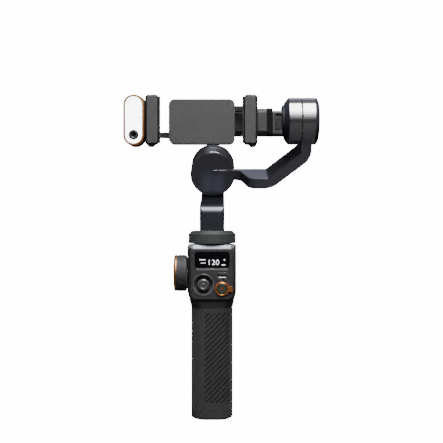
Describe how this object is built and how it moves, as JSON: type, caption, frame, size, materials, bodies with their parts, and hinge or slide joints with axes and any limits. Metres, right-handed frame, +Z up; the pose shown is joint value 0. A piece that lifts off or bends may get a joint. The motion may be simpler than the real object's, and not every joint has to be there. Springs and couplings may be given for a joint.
{
  "type": "smartphone gimbal",
  "caption": "Handheld three-axis phone stabiliser: handle with controls and display, inclined roll arm and a self-centring two-jaw clamp with a side light.",
  "frame": {"origin": "mouth of the threaded tripod socket in the middle of the handle's foot", "axes": "+Z up along the handle, -Y towards the user (the face with the controls), +X to the right, the side of the tilt motor"},
  "size_m": [0.165, 0.1096, 0.2756],
  "materials": {
    "shell_plastic": "satin moulded plastic",
    "panel_plastic": "fine matt texture",
    "grip_rubber": "matt moulded rubber",
    "motor_metal": "semi-gloss dark coating",
    "arm_metal": "satin dark coating",
    "clamp_plastic": "matt mid grey plastic",
    "pad_rubber": "matt rubber",
    "button_plastic": "satin",
    "orange_metal": "orange anodised",
    "wheel_rubber": "satin rubber",
    "gold_metal": "copper-gold anodised",
    "screen_gloss": "gloss black",
    "light_plastic": "white diffuser",
    "lens_gloss": "gloss black",
    "sensor_plastic": "satin",
    "steel": "ground steel",
    "brass": "turned brass",
    "magnet": "nickel plated",
    "winding": "copper windings on a laminated core",
    "gear_plastic": "natural acetal",
    "cell_wrap": "heat-shrink sleeve",
    "board": "green circuit board"
  },
  "bodies": {
    "handle": {"handle_front_shell": "shell_plastic", "handle_rear_shell": "shell_plastic", "front_panel": "panel_plastic", "grip_sleeve": "grip_rubber", "base_cap": "shell_plastic", "tripod_insert": "brass", "battery_cell": "cell_wrap", "main_board": "board", "screen_glass": "screen_gloss", "light_bar": "light_plastic", "handle_screws": "steel", "trigger_pin": "steel", "joystick_base": "shell_plastic", "pan_stator": "winding", "pan_bearings": "steel"},
    "wheel": {"control_wheel": "wheel_rubber", "wheel_rim": "gold_metal", "wheel_shaft": "steel"},
    "menu_key": {"menu_button": "button_plastic"},
    "record_key": {"record_button": "button_plastic"},
    "zoom_lever": {"zoom_ring": "orange_metal"},
    "side_key": {"side_button": "button_plastic"},
    "stick_yoke": {"joystick_yoke": "steel"},
    "stick": {"joystick_cap": "button_plastic"},
    "trigger_lever": {"trigger": "shell_plastic", "trigger_spring": "steel"},
    "neck": {"pan_cap": "motor_metal", "pan_magnets": "magnet", "pan_shaft": "steel", "neck_arm": "arm_metal", "roll_end_cap": "motor_metal", "roll_stator": "winding", "roll_bearings": "steel"},
    "arm": {"roll_rotor": "motor_metal", "roll_magnets": "magnet", "roll_shaft": "steel", "roll_arm": "arm_metal", "arm_cover": "arm_metal", "tilt_end_cap": "motor_metal", "tilt_stator": "winding", "tilt_bearings": "steel"},
    "stem": {"tilt_rotor": "motor_metal", "tilt_magnets": "magnet", "tilt_shaft": "steel", "tilt_stem": "clamp_plastic", "clamp_bracket": "clamp_plastic"},
    "latch": {"lock_latch": "clamp_plastic"},
    "clamp": {"clamp_body": "clamp_plastic", "clamp_back_plate": "clamp_plastic", "pivot_pin": "steel"},
    "gear": {"pinion": "gear_plastic", "clamp_spring": "steel"},
    "jaw_left": {"left_jaw": "clamp_plastic", "left_pad": "pad_rubber"},
    "jaw_right": {"right_jaw": "clamp_plastic", "right_pad": "pad_rubber"},
    "sensor": {"sensor_body": "sensor_plastic", "sensor_rim": "gold_metal", "sensor_face": "light_plastic", "sensor_lens": "lens_gloss"}
  },
  "joints": [
    {"name": "pan", "type": "hinge", "parent": "handle", "child": "neck", "pos_m": [0, 0, 0.15], "axis": [0, 0, 1], "continuous": true},
    {"name": "roll", "type": "hinge", "parent": "neck", "child": "arm", "pos_m": [0, 0.0099, 0.2008], "axis": [0, 0.9397, 0.342], "range_deg": [-90, 45]},
    {"name": "tilt", "type": "hinge", "parent": "arm", "child": "stem", "pos_m": [0, 0.005, 0.2552], "axis": [1, 0, 0], "range_deg": [-70, 35]},
    {"name": "lock_slide", "type": "slide", "parent": "stem", "child": "latch", "axis": [0, 0, 1], "range_m": [0, 0.003]},
    {"name": "clamp_turn", "type": "hinge", "parent": "stem", "child": "clamp", "pos_m": [-0.0086, 0, 0.2522], "axis": [0, 1, 0], "range_deg": [0, 90]},
    {"name": "jaw_slide", "type": "slide", "parent": "clamp", "child": "jaw_right", "axis": [1, 0, 0], "range_m": [-0.01, 0.008]},
    {"name": "jaw_slide_left", "type": "slide", "parent": "clamp", "child": "jaw_left", "axis": [-1, 0, 0], "range_m": [-0.01, 0.008]},
    {"name": "pinion_turn", "type": "hinge", "parent": "clamp", "child": "gear", "pos_m": [-0.0086, 0, 0.2522], "axis": [0, 1, 0], "range_deg": [-77, 62]},
    {"name": "sensor_pull", "type": "slide", "parent": "jaw_left", "child": "sensor", "axis": [-1, 0, 0], "range_m": [0, 0.02]},
    {"name": "wheel_turn", "type": "hinge", "parent": "handle", "child": "wheel", "pos_m": [-0.02695, -0.004, 0.1234], "axis": [1, 0, 0], "continuous": true},
    {"name": "stick_tip", "type": "hinge", "parent": "handle", "child": "stick_yoke", "pos_m": [-0.00705, -0.0146, 0.1146], "axis": [1, 0, 0], "range_deg": [-12, 12], "stiffness_Nm_per_rad": 0.01},
    {"name": "stick_swing", "type": "hinge", "parent": "stick_yoke", "child": "stick", "pos_m": [-0.00705, -0.0146, 0.1146], "axis": [0, 0, 1], "range_deg": [-12, 12], "stiffness_Nm_per_rad": 0.01},
    {"name": "menu_press", "type": "slide", "parent": "handle", "child": "menu_key", "axis": [0, 1, 0], "range_m": [0, 0.0007], "stiffness_N_per_m": 200},
    {"name": "record_press", "type": "slide", "parent": "handle", "child": "record_key", "axis": [0, 1, 0], "range_m": [0, 0.0008], "stiffness_N_per_m": 200},
    {"name": "side_press", "type": "slide", "parent": "handle", "child": "side_key", "axis": [1, 0, 0], "range_m": [0, 0.0005], "stiffness_N_per_m": 200},
    {"name": "zoom_turn", "type": "hinge", "parent": "handle", "child": "zoom_lever", "pos_m": [0.00865, -0.0215, 0.1112], "axis": [0, 1, 0], "range_deg": [-12, 12], "stiffness_Nm_per_rad": 0.01},
    {"name": "trigger_pull", "type": "hinge", "parent": "handle", "child": "trigger_lever", "pos_m": [0, 0.0145, 0.1195], "axis": [-1, 0, 0], "range_deg": [0, 10], "stiffness_Nm_per_rad": 0.05}
  ],
  "couplings": [
    {"joint": "jaw_slide_left", "follows": "jaw_slide", "ratio": 1},
    {"joint": "pinion_turn", "follows": "jaw_slide", "rad_per_m": 133.33}
  ]
}
